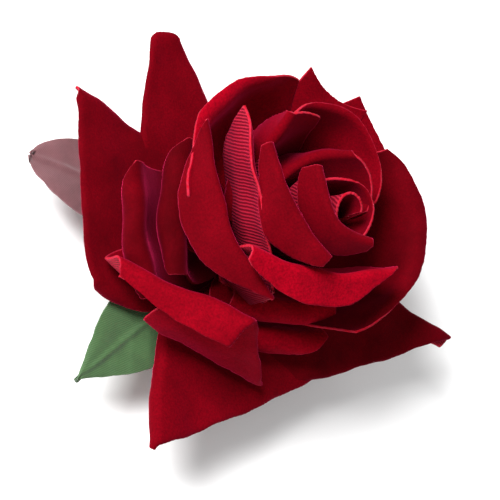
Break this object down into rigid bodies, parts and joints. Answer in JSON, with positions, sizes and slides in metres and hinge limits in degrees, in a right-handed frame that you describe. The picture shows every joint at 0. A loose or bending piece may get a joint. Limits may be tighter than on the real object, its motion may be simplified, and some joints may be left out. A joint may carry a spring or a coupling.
{
  "type": "flower hair clip",
  "caption": "Fabric rose with layered velvet petals and leaves on a felt-backed sprung steel hair clip with toothed jaws and a pivoting lower lever.",
  "frame": {"origin": "on the flat underside of the clip's lower lever, directly under the rose's axis", "axes": "+Z along the rose's axis, from the clip to the bud; +X along the clip, towards its jaws"},
  "size_m": [0.0921, 0.0943, 0.0538],
  "materials": {
    "lever_steel": "nickel-plated spring steel, bright",
    "rivet_steel": "satin",
    "spring_wire": "drawn wire, satin",
    "glue": "set hot-melt glue",
    "felt": "pressed felt",
    "stem_plastic": "moulded, matt",
    "calyx_plastic": "moulded, matt",
    "core_foam": "dense foam",
    "leaf_mauve": "printed woven fabric on a moulded rib",
    "leaf_green": "printed woven fabric on a moulded rib",
    "velvet": "short-pile velvet, ribbed woven back"
  },
  "bodies": {
    "flower_and_upper_lever": {"bud_core": "core_foam", "bud_petal_1": "velvet", "bud_petal_2": "velvet", "calyx_cup": "calyx_plastic", "cup_petal_1": "velvet", "cup_petal_2": "velvet", "cup_petal_3": "velvet", "cup_petal_4": "velvet", "felt_pad": "felt", "flower_stem": "stem_plastic", "glue_pad": "glue", "guard_petal_1": "velvet", "guard_petal_2": "velvet", "guard_petal_3": "velvet", "guard_petal_4": "velvet", "guard_petal_5": "velvet", "heart_petal_1": "velvet", "heart_petal_2": "velvet", "heart_petal_3": "velvet", "inner_petal_1": "velvet", "inner_petal_2": "velvet", "inner_petal_3": "velvet", "leaf_1": "leaf_mauve", "leaf_2": "leaf_green", "outer_petal_1": "velvet", "outer_petal_2": "velvet", "outer_petal_3": "velvet", "outer_petal_4": "velvet", "outer_petal_5": "velvet", "pivot_rivet": "rivet_steel", "torsion_spring": "spring_wire", "upper_lever": "lever_steel", "wrap_petal_1": "velvet", "wrap_petal_2": "velvet"},
    "lower_lever": {"lower_lever": "lever_steel"}
  },
  "joints": [
    {"name": "jaw_pivot", "type": "hinge", "parent": "flower_and_upper_lever", "child": "lower_lever", "pos_m": [-0.008, 0, 0.0048], "axis": [0, 1, 0], "range_deg": [0, 18], "stiffness_Nm_per_rad": 0.15, "springref_deg": -20.05, "deforming": ["torsion_spring"]}
  ]
}
